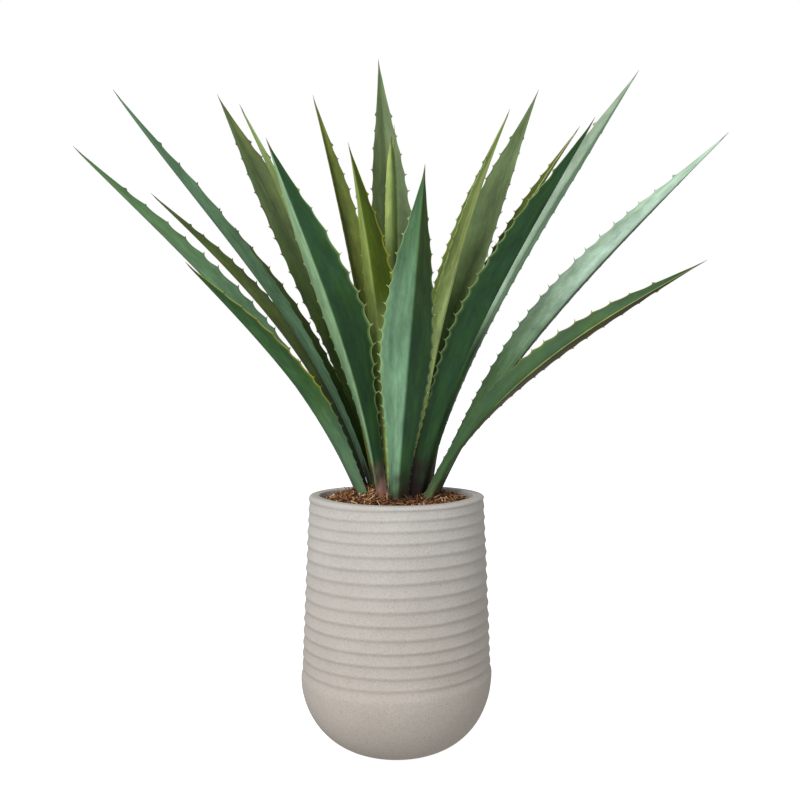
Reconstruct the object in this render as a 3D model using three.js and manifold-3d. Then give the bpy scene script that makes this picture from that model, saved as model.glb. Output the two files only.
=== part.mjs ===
// A century plant (agave) in a ribbed round planter, in millimetres, +Z up.
// The origin is the middle of the flat spot that the pot stands on, and -Y is the front.
// The rosette's leaves stand in plain holes in a short buried stem, under a layer of bark mulch.
import * as THREE from "three";
import { mergeVertices } from "three/addons/utils/BufferGeometryUtils.js";
import Module from "manifold-3d";

const wasm = await Module();
wasm.setup();

// Pot: a rounded bowl with a lip, then hand-turned ribs, then a narrow rim. The ribs stand closer
// together near the bowl and near the rim, and RIB_DRIFT is how far that moves them.
const POT_HEIGHT = 395;
const POT_FOOT_RADIUS = 50;
const BOWL_RADIUS = 151;
const BOWL_HEIGHT = 114;
const LOWEST_GROOVE_Z = 127;
const LOWEST_GROOVE_RADIUS = 147.6;
const TOP_GROOVE_RADIUS = 137.3;
const RIB_COUNT = 14;
const RIB_PITCH = 18.5;
const RIB_DRIFT = 3.6;
const RIB_HEIGHT = 2.7;
const RIB_FOOT = 0.2;
const RIM_RADIUS = 139.4;
const RIM_WALL = 17;
const RIM_ROUND = 5;
const FLOOR_THICKNESS = 16;
const POT_SIDES = 32;

// What fills the pot: soil, and a layer of bark chips on it.
const GAP = 0.3;
const SOIL_TOP = 372;
const MULCH_EDGE_TOP = 385;
const MULCH_HEAP = 9;
const CHIP_COUNT = 36;
const CHIP_SEED = 7;
const CHIP_LENGTH = 25;
const CHIP_THICKNESS = 4;
const CHIP_TILT = 0.7;
const CHIP_CLEAR = 3;
const CHIP_INNER_RADIUS = 40;
const GOLDEN_ANGLE = 2.39996;

// The short buried stem that the leaves grow from.
const STEM_FOOT = 318;
const STEM_HEIGHT = 64;
const STEM_RADIUS = 70;
const STEM_SIDES = 16;
const STEM_PROFILE = [
  { radius: 0.5, height: 0 },
  { radius: 0.85, height: 0.35 },
  { radius: 1, height: 0.75 },
  { radius: 0.9, height: 1 },
];

// Leaves: what they have in common.
const LEAF_FOOT_Z = 360;
const WIDEST_AT = 0.5;
const NECK_WIDTH = 0.2;
const TAPER_POWER = 1.6;
const TIP_PINCH = 0.4;
const MARGIN_THICKNESS = 0.8;
const FOOT_THICKNESS = 10;
const TIP_THICKNESS = 2.4;
const BLADE_SIDES = 6;
const SPINE_FROM = 0.955;
const TOOTH_COUNT = 15;
const TOOTH_HEIGHT = 3.6;
const TOOTH_HOLLOW = 0.25;
const TOOTH_AT_ENDS = 0.55;
const TOOTH_FROM = 0.16;
const TOOTH_LEAN = 0.36;

// Leaves: where each one stands and how it leans.
// foot is its place on the stem, from the axis. tip is the point of its spine, from the origin.
// bow is how far the line that the blade follows is pulled in and up from a straight one, first in
// its lower third and then in its upper third.
// half is the width of half the blade, from keel to margin, at its widest.
// fold is how far each half is turned up from flat, roll turns the blade about its length, and twist
// is how much further its tip is turned than its foot.
// tone is the name of its colour.
const LEAVES = [
  { foot: [-46, -2], tip: [-485, -80, 926], bow: [78, 28], half: 42, fold: 40, roll: 0, tone: "green" },
  { foot: [-28, 0], tip: [-425, -80, 1011], bow: [86, 16], half: 38, fold: 38, roll: -18, tone: "green" },
  { foot: [-44, 25], tip: [-411, 60, 891], bow: [90, 45], half: 32, fold: 40, roll: 12, tone: "olive" },
  { foot: [-43, -29], tip: [-293, -170, 737], bow: [52, 25], half: 36, fold: 40, roll: 0, tone: "green" },
  { foot: [-17, 22], tip: [-316, 130, 1083], bow: [64, 15], half: 46, fold: 30, roll: -40, tone: "olive" },
  { foot: [-27, -23], tip: [-251, 0, 1018], bow: [50, 25], half: 34, fold: 40, roll: 0, tone: "pale" },
  {
    foot: [-22, -46], tip: [-181, -170, 910], bow: [48, 18],
    half: 50, fold: 38, roll: 22, twist: 20, tone: "green",
  },
  { foot: [-12, 52], tip: [-153, 180, 1100], bow: [30, 20], half: 37, fold: 40, roll: 0, tone: "olive" },
  {
    foot: [-9, -28], tip: [-72, -85, 930], bow: [20, 30],
    half: 38, fold: 38, roll: 32, twist: -16, tone: "olive",
  },
  { foot: [10, 34], tip: [-32, 110, 1137], bow: [10, 8], half: 46, fold: 28, roll: -10, tone: "green" },
  { foot: [-6, 6], tip: [-6, 20, 992], bow: [3, 3], half: 22, fold: 62, roll: 0, tone: "pale" },
  {
    foot: [4, -56], tip: [38, -250, 850], bow: [26, 0],
    half: 50, fold: 38, roll: -4, twist: 22, tone: "green",
  },
  { foot: [17, 4], tip: [184, 20, 1017], bow: [31, 33], half: 42, fold: 40, roll: 0, tone: "olive" },
  { foot: [27, 38], tip: [253, 150, 1099], bow: [54, 24], half: 43, fold: 32, roll: 33, tone: "green" },
  { foot: [50, 36], tip: [342, 220, 1057], bow: [92, 56], half: 26, fold: 44, roll: 0, tone: "olive" },
  { foot: [27, -33], tip: [278, -165, 940], bow: [58, 24], half: 46, fold: 40, roll: 0, tone: "green" },
  { foot: [36, 2], tip: [386, -5, 1070], bow: [72, 31], half: 37, fold: 40, roll: 0, tone: "pale" },
  { foot: [51, 11], tip: [515, -40, 960], bow: [74, 30], half: 36, fold: 40, roll: -20, tone: "pale" },
  { foot: [37, -40], tip: [451, -120, 748], bow: [90, 46], half: 37, fold: 40, roll: 0, tone: "green" },
  { foot: [-34, 56], tip: [-188, 280, 813], bow: [40, 25], half: 40, fold: 38, roll: 0, tone: "green" },
  { foot: [6, 64], tip: [15, 360, 760], bow: [40, 30], half: 42, fold: 38, roll: 0, tone: "green" },
  { foot: [40, 60], tip: [209, 280, 813], bow: [40, 25], half: 40, fold: 38, roll: 0, tone: "green" },
];

const ribTop = LOWEST_GROOVE_Z + RIB_COUNT * RIB_PITCH;
const innerRadius = RIM_RADIUS - RIM_WALL;

// A closed triangle mesh with only its corner points, shared where they meet.
function welded(geometry) {
  const bare = geometry.index ? geometry.toNonIndexed() : geometry.clone();
  bare.deleteAttribute("normal");
  bare.deleteAttribute("uv");
  return mergeVertices(bare, 1e-4);
}

function toSolid(geometry) {
  const merged = welded(geometry);
  return new wasm.Manifold(
    new wasm.Mesh({
      numProp: 3,
      vertProperties: merged.attributes.position.array,
      triVerts: new Uint32Array(merged.index.array),
    }),
  );
}

function toGeometry(solid) {
  const mesh = solid.getMesh();
  const geometry = new THREE.BufferGeometry();
  geometry.setAttribute("position", new THREE.BufferAttribute(mesh.vertProperties, 3));
  geometry.setIndex(new THREE.BufferAttribute(mesh.triVerts, 1));
  geometry.computeVertexNormals();
  return geometry;
}

// Turns an outline of [radius, z] points, from the bottom of the axis round to its top, into a solid.
function turned(outline, sides) {
  const points = outline.map(([radius, z]) => new THREE.Vector2(radius, z));
  return new THREE.LatheGeometry(points, sides).rotateX(Math.PI / 2);
}

// A quarter of an ellipse from [footRadius, z0] on a flat bottom up to [radius, z0 + height].
function bowlCurve(footRadius, radius, z0, height, steps) {
  const points = [];
  for (let i = 0; i <= steps; i += 1) {
    const angle = (i / steps) * (Math.PI / 2);
    points.push([
      footRadius + (radius - footRadius) * Math.sin(angle),
      z0 + height * (1 - Math.cos(angle)),
    ]);
  }
  return points;
}

function grooveRadius(z) {
  const share = (z - LOWEST_GROOVE_Z) / (ribTop - LOWEST_GROOVE_Z);
  return LOWEST_GROOVE_RADIUS + (TOP_GROOVE_RADIUS - LOWEST_GROOVE_RADIUS) * share;
}

// Height of a place on the ribbed wall, counted in ribs from the lowest groove.
function ribHeightAt(ribs) {
  const drift = RIB_DRIFT * Math.sin((2 * Math.PI * ribs) / RIB_COUNT);
  return LOWEST_GROOVE_Z + ribs * RIB_PITCH - drift;
}

// Each rib is a ridge between two broad hollows.
function potOutside() {
  const points = [[0, 0], ...bowlCurve(POT_FOOT_RADIUS, BOWL_RADIUS, 0, BOWL_HEIGHT, 8)];
  for (let i = 0; i < RIB_COUNT; i += 1) {
    const lower = ribHeightAt(i + RIB_FOOT);
    const crest = ribHeightAt(i + 0.5);
    const upper = ribHeightAt(i + 1 - RIB_FOOT);
    points.push([grooveRadius(lower), lower]);
    points.push([grooveRadius(crest) + RIB_HEIGHT, crest]);
    points.push([grooveRadius(upper), upper]);
  }
  points.push([grooveRadius(ribTop), ribTop]);
  return points;
}

function potRim() {
  const points = [];
  for (const degrees of [0, 35, 90]) {
    const angle = THREE.MathUtils.degToRad(degrees);
    points.push([
      RIM_RADIUS - RIM_ROUND + RIM_ROUND * Math.cos(angle),
      POT_HEIGHT - RIM_ROUND + RIM_ROUND * Math.sin(angle),
    ]);
  }
  points.push([innerRadius + RIM_ROUND / 2, POT_HEIGHT]);
  points.push([innerRadius, POT_HEIGHT - RIM_ROUND / 2]);
  return points;
}

// The inside wall, from the top down to the middle of the floor.
function potInside(clear) {
  const footRadius = POT_FOOT_RADIUS - clear;
  const bowl = bowlCurve(
    footRadius,
    innerRadius - clear,
    FLOOR_THICKNESS + clear,
    BOWL_HEIGHT - FLOOR_THICKNESS,
    5,
  );
  return [...bowl.reverse(), [0, FLOOR_THICKNESS + clear]];
}

function makePot() {
  return turned([...potOutside(), ...potRim(), ...potInside(0)], POT_SIDES);
}

// The soil fills the pot up to the mulch.
function soilOutline() {
  return [...potInside(GAP).reverse(), [innerRadius - GAP, SOIL_TOP], [0, SOIL_TOP]];
}

// The stem is a short stump, widest near its top. Its hole is a clearance larger all round.
function stemOutline(clear) {
  const points = [[0, STEM_FOOT - clear]];
  for (const { radius, height } of STEM_PROFILE) {
    const z = STEM_FOOT - clear + height * (STEM_HEIGHT + 2 * clear);
    points.push([STEM_RADIUS * radius + clear, z]);
  }
  points.push([0, STEM_FOOT + STEM_HEIGHT + clear]);
  return points;
}

// Height of the mulch's surface at a distance from the axis: it is heaped a little round the plant.
function mulchHeight(radius) {
  return MULCH_EDGE_TOP + MULCH_HEAP * Math.cos((radius / innerRadius) * (Math.PI / 2));
}

function mulchOutline() {
  const outer = innerRadius - GAP;
  const surface = [1, 0.5, 0].map((share) => [share * outer, mulchHeight(share * outer)]);
  return [[0, SOIL_TOP + GAP], [outer, SOIL_TOP + GAP], ...surface];
}

// Repeatable numbers from 0 to 1.
function makeRandom(seed) {
  let state = seed;
  return () => {
    state = (state * 16807) % 2147483647;
    return state / 2147483647;
  };
}

// One flat bark chip, its root sunk in the mulch.
function makeChip(index, random) {
  const length = CHIP_LENGTH * (0.6 + 0.7 * random());
  const width = CHIP_LENGTH * (0.3 + 0.2 * random());
  const thickness = CHIP_THICKNESS * (0.8 + 0.5 * random());
  const reach = innerRadius - length / 2 - CHIP_CLEAR;
  const radius = CHIP_INNER_RADIUS + (reach - CHIP_INNER_RADIUS) * Math.sqrt((index + 0.5) / CHIP_COUNT);
  const angle = index * GOLDEN_ANGLE;
  const chip = new THREE.BoxGeometry(length, width, thickness);
  chip.rotateY((random() - 0.5) * CHIP_TILT);
  chip.rotateX((random() - 0.5) * CHIP_TILT);
  chip.rotateZ(random() * Math.PI);
  const z = mulchHeight(radius) + thickness * (0.1 + 0.2 * random());
  chip.translate(radius * Math.cos(angle), radius * Math.sin(angle), z);
  return toSolid(chip);
}

// The largest of the pieces that a cut leaves.
function largestPiece(solid) {
  const pieces = solid.decompose();
  return pieces.reduce((best, piece) => (piece.volume() > best.volume() ? piece : best));
}

function cutSockets(solid, sockets) {
  return largestPiece(sockets.reduce((rest, socket) => rest.subtract(socket), solid));
}

function makeSoil(sockets) {
  const hollow = toSolid(turned(stemOutline(GAP), STEM_SIDES));
  const soil = toSolid(turned(soilOutline(), POT_SIDES)).subtract(hollow);
  return toGeometry(cutSockets(soil, sockets));
}

function makeStem(sockets) {
  return toGeometry(cutSockets(toSolid(turned(stemOutline(0), STEM_SIDES)), sockets));
}

function makeMulch(sockets) {
  const random = makeRandom(CHIP_SEED);
  let mulch = toSolid(turned(mulchOutline(), POT_SIDES));
  for (let i = 0; i < CHIP_COUNT; i += 1) {
    mulch = mulch.add(makeChip(i, random));
  }
  mulch = mulch.subtract(toSolid(turned(stemOutline(GAP), STEM_SIDES)));
  return toGeometry(cutSockets(mulch, sockets));
}

// A leaf's keel line: a cubic curve from its foot to its tip, bowed inwards and up.
function keelCurve(leaf) {
  const foot = new THREE.Vector3(leaf.foot[0], leaf.foot[1], LEAF_FOOT_Z);
  const tip = new THREE.Vector3(...leaf.tip);
  const chord = tip.clone().sub(foot);
  const along = chord.clone().normalize();
  const up = new THREE.Vector3(0, 0, 1);
  up.addScaledVector(along, -up.dot(along)).normalize();
  const lower = foot.clone().addScaledVector(chord, 1 / 3).addScaledVector(up, leaf.bow[0]);
  const upper = foot.clone().addScaledVector(chord, 2 / 3).addScaledVector(up, leaf.bow[1]);
  return new THREE.CubicBezierCurve3(foot, lower, upper, tip);
}

// The way across the blade and the way into its channel, at a share s of its length.
function bladeFrame(leaf, along, s) {
  const azimuth = Math.atan2(leaf.tip[1] - leaf.foot[1], leaf.tip[0] - leaf.foot[0]);
  const level = new THREE.Vector3(-Math.sin(azimuth), Math.cos(azimuth), 0);
  level.addScaledVector(along, -level.dot(along)).normalize();
  const inward = along.clone().cross(level);
  const roll = THREE.MathUtils.degToRad(leaf.roll + (leaf.twist ?? 0) * (s - 0.5));
  const across = level.clone().multiplyScalar(Math.cos(roll));
  across.addScaledVector(inward, Math.sin(roll));
  return { across, inward: along.clone().cross(across) };
}

// The share of the full width that the blade has at a share s of its length.
function widthShare(s) {
  if (s < WIDEST_AT) {
    const rise = s / WIDEST_AT;
    return NECK_WIDTH + (1 - NECK_WIDTH) * rise * rise * (3 - 2 * rise);
  }
  const fall = (s - WIDEST_AT) / (1 - WIDEST_AT);
  const pinch = 1 - TIP_PINCH * THREE.MathUtils.smoothstep(fall, 0.5, 1);
  return (1 - fall ** TAPER_POWER) * pinch;
}

// Where the blade is sectioned: a hollow and a tooth for each pair of teeth, and the spine's root.
function leafStations() {
  const stations = [
    { s: 0, reach: 0 },
    { s: TOOTH_FROM / 2, reach: 0 },
  ];
  const pitch = (SPINE_FROM - TOOTH_FROM) / TOOTH_COUNT;
  for (let i = 0; i < TOOTH_COUNT; i += 1) {
    const s = TOOTH_FROM + i * pitch;
    const middle = Math.sin(Math.PI * (i / TOOTH_COUNT));
    const size = TOOTH_HEIGHT * (TOOTH_AT_ENDS + (1 - TOOTH_AT_ENDS) * middle);
    stations.push({ s, reach: -TOOTH_HOLLOW * size });
    stations.push({ s: s + TOOTH_LEAN * pitch, reach: (1 - TOOTH_HOLLOW) * size });
  }
  stations.push({ s: SPINE_FROM, reach: 0 });
  return stations;
}

// The six corners of the blade's section: margin, crease, margin on the channel side,
// then margin, keel, margin on the outside.
function leafSection(leaf, curve, station, grow) {
  const along = curve.getTangentAt(station.s);
  const centre = curve.getPointAt(station.s);
  const { across, inward } = bladeFrame(leaf, along, station.s);
  const fold = THREE.MathUtils.degToRad(leaf.fold);
  const halfWidth = leaf.half * widthShare(station.s) + station.reach + grow;
  const thickness = THREE.MathUtils.lerp(FOOT_THICKNESS, TIP_THICKNESS, station.s ** 0.6);
  const edge = MARGIN_THICKNESS / 2 + grow;
  const corner = (acrossBy, inwardBy) =>
    centre.clone().addScaledVector(across, acrossBy).addScaledVector(inward, inwardBy);
  const margin = (side, lift) =>
    corner(
      side * (halfWidth * Math.cos(fold) - lift * Math.sin(fold)),
      halfWidth * Math.sin(fold) + lift * Math.cos(fold),
    );
  return [
    margin(-1, edge),
    corner(0, thickness / 2 + grow * 1.4),
    margin(1, edge),
    margin(1, -edge),
    corner(0, -thickness / 2 - grow * 1.4),
    margin(-1, -edge),
  ];
}

// A blade from a list of six-cornered sections, closed by a flat foot and, with an apex, a point.
function bladeGeometry(sections, apex) {
  const positions = [];
  for (const point of sections.flat()) {
    positions.push(point.x, point.y, point.z);
  }
  const faces = [];
  for (let i = 0; i + 1 < sections.length; i += 1) {
    for (let j = 0; j < BLADE_SIDES; j += 1) {
      const a = i * BLADE_SIDES + j;
      const b = i * BLADE_SIDES + ((j + 1) % BLADE_SIDES);
      faces.push(a, b + BLADE_SIDES, b, a, a + BLADE_SIDES, b + BLADE_SIDES);
    }
  }
  faces.push(1, 2, 3, 1, 3, 4, 1, 4, 5, 1, 5, 0);
  const last = (sections.length - 1) * BLADE_SIDES;
  if (apex) {
    positions.push(apex.x, apex.y, apex.z);
    for (let j = 0; j < BLADE_SIDES; j += 1) {
      faces.push(last + j, last + BLADE_SIDES, last + ((j + 1) % BLADE_SIDES));
    }
  } else {
    for (const [a, b, c] of [[1, 3, 2], [1, 4, 3], [1, 5, 4], [1, 0, 5]]) {
      faces.push(last + a, last + b, last + c);
    }
  }
  const geometry = new THREE.BufferGeometry();
  geometry.setAttribute("position", new THREE.Float32BufferAttribute(positions, 3));
  geometry.setIndex(faces);
  geometry.computeVertexNormals();
  return geometry;
}

function makeLeaf(leaf) {
  const curve = keelCurve(leaf);
  const sections = leafStations().map((station) => leafSection(leaf, curve, station, 0));
  return bladeGeometry(sections, new THREE.Vector3(...leaf.tip));
}

// The hole that a leaf's foot stands in: its lower end, a gap wider all round.
function makeSocket(leaf) {
  const curve = keelCurve(leaf);
  const sections = [0, TOOTH_FROM / 2, TOOTH_FROM].map((s) =>
    leafSection(leaf, curve, { s, reach: 0 }, GAP),
  );
  sections[0].forEach((point) => point.setZ(point.z - GAP));
  return toSolid(bladeGeometry(sections, null));
}

const potMaterial = new THREE.MeshStandardMaterial({ color: 0xbdb8b0, roughness: 0.9, metalness: 0 });
const soilMaterial = new THREE.MeshStandardMaterial({ color: 0x3c2a1e, roughness: 1, metalness: 0 });
const mulchMaterial = new THREE.MeshStandardMaterial({ color: 0x8a5433, roughness: 0.95, metalness: 0 });
const stemMaterial = new THREE.MeshStandardMaterial({ color: 0x8d7f66, roughness: 0.9, metalness: 0 });
const leafColors = { green: 0x5a8560, olive: 0x747c4c, pale: 0x9db596 };

const plant = new THREE.Group();

function addPart(name, geometry, material) {
  const mesh = new THREE.Mesh(geometry, material);
  mesh.name = name;
  plant.add(mesh);
}

const sockets = LEAVES.map(makeSocket);
addPart("pot", makePot(), potMaterial);
addPart("soil", makeSoil(sockets), soilMaterial);
addPart("stem", makeStem(sockets), stemMaterial);
addPart("bark_mulch", makeMulch(sockets), mulchMaterial);
LEAVES.forEach((leaf, index) => {
  const number = String(index + 1).padStart(2, "0");
  const color = leafColors[leaf.tone];
  const material = new THREE.MeshStandardMaterial({ color, roughness: 0.5, metalness: 0 });
  addPart(`leaf_${number}`, makeLeaf(leaf), material);
});

export default plant;
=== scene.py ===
import bisect
import math
import random
import bpy
from mathutils import Matrix, Vector, noise
from mathutils.geometry import interpolate_bezier


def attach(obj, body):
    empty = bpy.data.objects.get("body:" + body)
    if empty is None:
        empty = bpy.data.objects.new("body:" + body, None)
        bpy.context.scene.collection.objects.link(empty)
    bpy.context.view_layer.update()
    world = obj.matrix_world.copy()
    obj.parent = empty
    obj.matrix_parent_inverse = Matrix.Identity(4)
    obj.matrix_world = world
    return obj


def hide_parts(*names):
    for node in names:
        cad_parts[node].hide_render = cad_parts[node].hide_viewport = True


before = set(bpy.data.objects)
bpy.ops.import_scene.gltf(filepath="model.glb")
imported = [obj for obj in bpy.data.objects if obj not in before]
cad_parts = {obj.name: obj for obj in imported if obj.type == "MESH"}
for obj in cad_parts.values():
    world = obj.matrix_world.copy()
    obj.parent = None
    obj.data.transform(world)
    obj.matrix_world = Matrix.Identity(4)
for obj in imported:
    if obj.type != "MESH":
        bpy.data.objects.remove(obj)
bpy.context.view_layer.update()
mm = 0.001
print("frame loaded with", len(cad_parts), "nodes")


def fromScreen(red, green, blue):  # a screen colour, 0 to 255, as the renderer's linear colour
    def linear(value):
        share = value / 255
        return share / 12.92 if share <= 0.04045 else ((share + 0.055) / 1.055) ** 2.4
    return (linear(red), linear(green), linear(blue))


def mixed(one, other, share):
    share = min(1, max(0, share))
    return tuple(a + (b - a) * share for a, b in zip(one, other))


def ramp(low, high, value):  # 0 below low, 1 above high, smooth between
    share = min(1, max(0, (value - low) / (high - low)))
    return share * share * (3 - 2 * share)


def pickOnly(piece):
    bpy.ops.object.select_all(action="DESELECT")
    piece.select_set(True)
    bpy.context.view_layer.objects.active = piece


def applyAll(piece):
    pickOnly(piece)
    for modifier in list(piece.modifiers):
        bpy.ops.object.modifier_apply(modifier=modifier.name)


def faceOutwards():  # the active piece
    bpy.ops.object.mode_set(mode="EDIT")
    bpy.ops.mesh.select_all(action="SELECT")
    bpy.ops.mesh.normals_make_consistent(inside=False)
    bpy.ops.object.mode_set(mode="OBJECT")


# Materials

def newMaterial(name, roughness, specular):
    material = bpy.data.materials.new(name)
    material.use_nodes = True
    tree = material.node_tree
    skin = tree.nodes["Principled BSDF"]
    skin.inputs["Roughness"].default_value = roughness
    skin.inputs["Specular IOR Level"].default_value = specular
    return material, tree, skin


def addNode(tree, kind, **values):
    node = tree.nodes.new(kind)
    for name, value in values.items():
        setattr(node, name, value)
    return node


def objectPlace(tree):
    return addNode(tree, "ShaderNodeTexCoord").outputs["Object"]


def ownAttribute(tree, name):
    return addNode(tree, "ShaderNodeAttribute", attribute_name=name)


def noiseAt(tree, place, scale, detail=3.0, roughness=0.5):
    node = addNode(tree, "ShaderNodeTexNoise")
    node.inputs["Scale"].default_value = scale
    node.inputs["Detail"].default_value = detail
    node.inputs["Roughness"].default_value = roughness
    tree.links.new(place, node.inputs["Vector"])
    return node.outputs["Fac"]


def scaledPlace(tree, place, scales):
    mapping = addNode(tree, "ShaderNodeMapping")
    mapping.inputs["Scale"].default_value = scales
    tree.links.new(place, mapping.inputs["Vector"])
    return mapping.outputs["Vector"]


def stretchedNoise(tree, place, scales, detail=3.0, roughness=0.5):  # another scale along each axis
    return noiseAt(tree, scaledPlace(tree, place, scales), 1.0, detail, roughness)


def spotsAt(tree, place, scale, size):  # 1 in the middle of a spot, falling to 0 between the two sizes
    cells = addNode(tree, "ShaderNodeTexVoronoi")
    cells.inputs["Scale"].default_value = scale
    tree.links.new(place, cells.inputs["Vector"])
    return rangeOf(tree, cells.outputs["Distance"], size, (1.0, 0.0))


def rangeOf(tree, value, taken, given):  # a value between the two taken becomes one between the two given
    node = addNode(tree, "ShaderNodeMapRange")
    for name, number in zip(("From Min", "From Max", "To Min", "To Max"), (*taken, *given)):
        node.inputs[name].default_value = number
    tree.links.new(value, node.inputs["Value"])
    return node.outputs["Result"]


def joined(tree, operation, one, other):  # sum, product or the like of two sockets
    node = addNode(tree, "ShaderNodeMath", operation=operation)
    tree.links.new(one, node.inputs[0])
    tree.links.new(other, node.inputs[1])
    return node.outputs[0]


def product(tree, one, other):
    return joined(tree, "MULTIPLY", one, other)


def blended(tree, kind, share, one, other):  # share, one and other are sockets or values
    node = addNode(tree, "ShaderNodeMix", data_type="RGBA", blend_type=kind)
    for socket, given in ((node.inputs[0], share), (node.inputs[6], one), (node.inputs[7], other)):
        if isinstance(given, bpy.types.NodeSocket):
            tree.links.new(given, socket)
        elif isinstance(given, tuple):
            socket.default_value = (*given, 1)
        else:
            socket.default_value = given
    return node.outputs[2]


def covered(tree, share, below, above):
    return blended(tree, "MIX", share, below, above)


def tinted(tree, color, tint):
    return blended(tree, "MULTIPLY", 1.0, color, tint)


def bumped(tree, skin, height, strength, distance):
    node = addNode(tree, "ShaderNodeBump")
    node.inputs["Strength"].default_value = strength
    node.inputs["Distance"].default_value = distance
    tree.links.new(height, node.inputs["Height"])
    tree.links.new(node.outputs["Normal"], skin.inputs["Normal"])


# scales are across a leaf, along it and from leaf to leaf; "from" names the noise between which a pattern
# starts and is whole, and a tint multiplies the painted colour
leafLook = {
    "blotchScale": (38, 15, 1), "blotchFrom": (0.28, 0.72), "blotchTone": (0.7, 1.3),
    "smudgeScale": (110, 30, 1), "smudgeFrom": (0.28, 0.72), "smudgeTone": (0.82, 1.18),
    "veinScale": (430, 9, 1), "veinFrom": (0.25, 0.75), "veinTone": (0.96, 1.04),
    "mistScale": (30, 9, 1), "mistFrom": (0.5, 0.68), "mistCover": 0.55, "mistTint": (1.5, 1.4, 1.5),
    "creaseScale": (52, 3.4, 1), "creaseMiddle": 0.53, "creaseWidth": 0.008,  # where the noise is middling
    "gapScale": (60, 26, 1), "gapFrom": (0.44, 0.56), "creaseCover": 0.4, "creaseColor": (0.012, 0.022, 0.01),
    "cloudScale": (38, 16, 1), "cloudFrom": (0.47, 0.68), "cloudTint": (1.3, 1.2, 0.62),
    "streakScale": (300, 5, 1), "streakFrom": (0.35, 0.65), "streakCover": (0.25, 1.0),
    "highlightTint": (2.2, 2.05, 2.8),
    "tickScale": (115, 48, 1), "tickSize": (0.06, 0.13), "tickColor": (0.02, 0.03, 0.014),
    "tickPatch": 36.0, "tickFrom": (0.53, 0.62), "tickCover": 0.55,
    "roughFrom": (0.3, 0.7), "roughness": (0.44, 0.58), "bump": 0.3, "bumpDepth": 1.0,
}


def makeLeafSkin():  # painted colour, with blotches, creases darkened with painted shade, veins, yellow-green clouds, a pale streak painted as a highlight, and ticks
    look = leafLook
    material, tree, skin = newMaterial("leafSkin", 0.5, 0.2)
    color = ownAttribute(tree, "coat").outputs["Color"]
    grain = ownAttribute(tree, "grain").outputs["Vector"]
    smudges = stretchedNoise(tree, grain, look["smudgeScale"], 4.0, 0.6)
    patterns = (
        (stretchedNoise(tree, grain, look["blotchScale"], 6.0, 0.66), look["blotchFrom"], look["blotchTone"]),
        (smudges, look["smudgeFrom"], look["smudgeTone"]),
        (stretchedNoise(tree, grain, look["veinScale"], 3.0, 0.55), look["veinFrom"], look["veinTone"]),
    )
    for pattern, patternFrom, tone in patterns:
        color = tinted(tree, color, rangeOf(tree, pattern, patternFrom, tone))

    mist = rangeOf(tree, stretchedNoise(tree, grain, look["mistScale"], 5.0, 0.7),
                   look["mistFrom"], (0.0, look["mistCover"]))
    color = covered(tree, mist, color, tinted(tree, color, look["mistTint"]))

    # painted shade: thin dark broken lines along the blade, as the shade in fine creases
    fromMiddle = addNode(tree, "ShaderNodeMath", operation="SUBTRACT")
    fromMiddle.inputs[1].default_value = look["creaseMiddle"]
    tree.links.new(stretchedNoise(tree, grain, look["creaseScale"], 2.0, 0.5), fromMiddle.inputs[0])
    creases = addNode(tree, "ShaderNodeMath", operation="ABSOLUTE")
    tree.links.new(fromMiddle.outputs[0], creases.inputs[0])
    line = rangeOf(tree, creases.outputs[0], (0.0, look["creaseWidth"]), (1.0, 0.0))
    broken = rangeOf(tree, stretchedNoise(tree, grain, look["gapScale"], 2.0),
                     look["gapFrom"], (0.0, look["creaseCover"]))
    color = covered(tree, product(tree, line, broken), color, look["creaseColor"])

    clouds = rangeOf(tree, stretchedNoise(tree, grain, look["cloudScale"], 4.0, 0.6),
                     look["cloudFrom"], (0.0, 1.0))
    warm = product(tree, ownAttribute(tree, "warm").outputs["Fac"], clouds)
    color = covered(tree, warm, color, tinted(tree, color, look["cloudTint"]))

    # painted highlight: pale streaks beside the keel where a leaf asks for them
    streaks = rangeOf(tree, stretchedNoise(tree, grain, look["streakScale"], 2.0, 0.5),
                      look["streakFrom"], look["streakCover"])
    paintedHighlight = product(tree, ownAttribute(tree, "paintedHighlight").outputs["Fac"], streaks)
    color = covered(tree, paintedHighlight, color, tinted(tree, color, look["highlightTint"]))

    ticks = spotsAt(tree, scaledPlace(tree, grain, look["tickScale"]), 1.0, look["tickSize"])
    sparse = rangeOf(tree, noiseAt(tree, grain, look["tickPatch"], 1.0),
                     look["tickFrom"], (0.0, look["tickCover"]))
    color = covered(tree, product(tree, ticks, sparse), color, look["tickColor"])
    tree.links.new(color, skin.inputs["Base Color"])
    tree.links.new(rangeOf(tree, smudges, look["roughFrom"], look["roughness"]), skin.inputs["Roughness"])
    bumped(tree, skin, smudges, look["bump"], look["bumpDepth"] * mm)
    return material


sandLook = {
    "pale": (0.575, 0.546, 0.514), "dull": (0.53, 0.5, 0.466), "cloudScale": 12.0, "cloudFrom": (0.3, 0.7),
    "lowShadeTint": (0.9, 0.85, 0.79), "lowShadeBelow": 0.36,  # heights in m
    "innerLightTint": (0.8, 0.78, 0.74), "innerLightAbove": (0.3, 0.34),
    "innerLightInside": (0.0151, 0.0156),  # squares of the radius
    "grainScale": 520.0, "grainFrom": (0.3, 0.7), "grainTone": (0.83, 1.15), "bump": 0.4, "bumpDepth": 0.5,
    "speckScale": 420.0, "speckSize": (0.24, 0.34), "speckColor": (0.2, 0.175, 0.15),
    "speckPatch": 210.0, "speckFrom": (0.54, 0.62), "speckCover": 0.38,
}


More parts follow.
